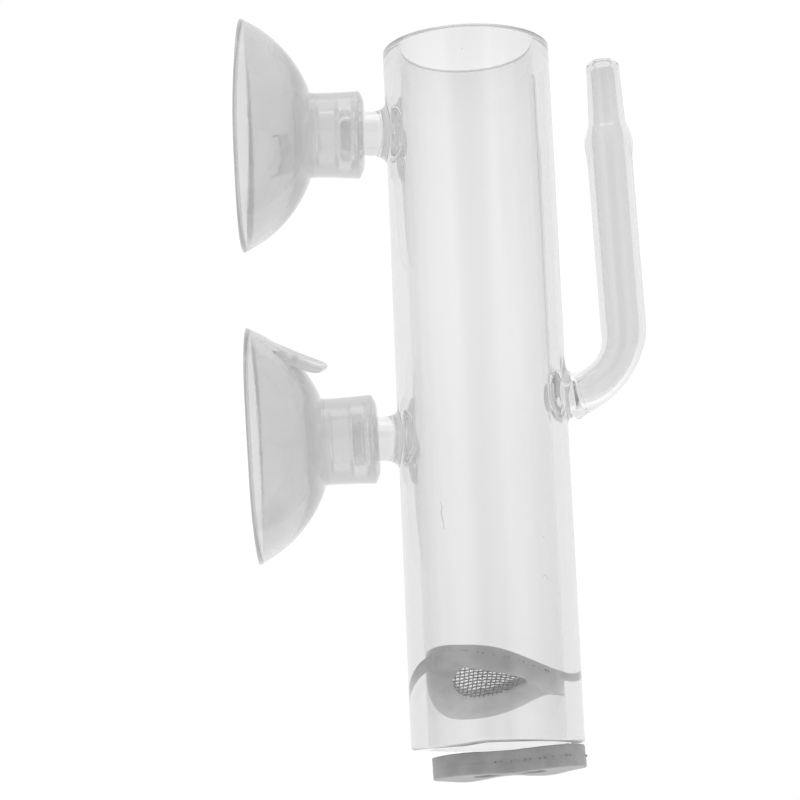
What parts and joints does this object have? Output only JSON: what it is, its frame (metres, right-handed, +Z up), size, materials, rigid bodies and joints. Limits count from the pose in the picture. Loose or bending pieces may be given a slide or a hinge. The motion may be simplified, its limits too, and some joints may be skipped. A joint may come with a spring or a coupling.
{
  "type": "hanging glass tumbler tube",
  "caption": "Straight glass tube hung on an aquarium wall by two suction cups, with a J-shaped side inlet ending in a hose spigot and loose mesh screens at its lower end.",
  "frame": {"origin": "on the aquarium wall's plane, where the suction cups' lips rest, midway between the two cups", "axes": "+Z up along the glass tube, +X from the wall to the tube, cups opening towards -X"},
  "size_m": [0.0705, 0.0418, 0.1367],
  "materials": {
    "glass": "clear borosilicate glass, fire-polished rims, smooth and glossy",
    "soft_pvc": "translucent soft PVC, slightly glossy, with faint mould haze",
    "silicone": "matte translucent grey silicone",
    "steel_mesh": "plain-woven stainless wire mesh, about 0.6 mm pitch"
  },
  "bodies": {
    "glass": {"main_tube": "glass", "upper_peg": "glass", "lower_peg": "glass", "inlet_tube": "glass", "hose_spigot": "glass"},
    "upper_cup": {"upper_suction_cup": "soft_pvc"},
    "lower_cup": {"lower_suction_cup": "soft_pvc"},
    "inner_screen": {"inner_screen_upper_ring": "silicone", "inner_screen_mesh": "steel_mesh", "inner_screen_lower_ring": "silicone"},
    "lower_screen": {"lower_screen_upper_ring": "silicone", "lower_screen_mesh": "steel_mesh", "lower_screen_lower_ring": "silicone"}
  },
  "joints": [
    {"name": "upper_cup_spin", "type": "hinge", "parent": "glass", "child": "upper_cup", "pos_m": [0.0208, 0, 0.0279], "axis": [1, 0, 0], "continuous": true},
    {"name": "lower_cup_spin", "type": "hinge", "parent": "glass", "child": "lower_cup", "pos_m": [0.0208, 0, -0.0279], "axis": [1, 0, 0], "continuous": true},
    {"name": "inner_screen_slide", "type": "slide", "parent": "glass", "child": "inner_screen", "axis": [0, 0, 1], "range_m": [-0.0025, 0.107]},
    {"name": "lower_screen_slide", "type": "slide", "parent": "glass", "child": "lower_screen", "axis": [0, 0, 1], "range_m": [-0.03, 0]}
  ]
}
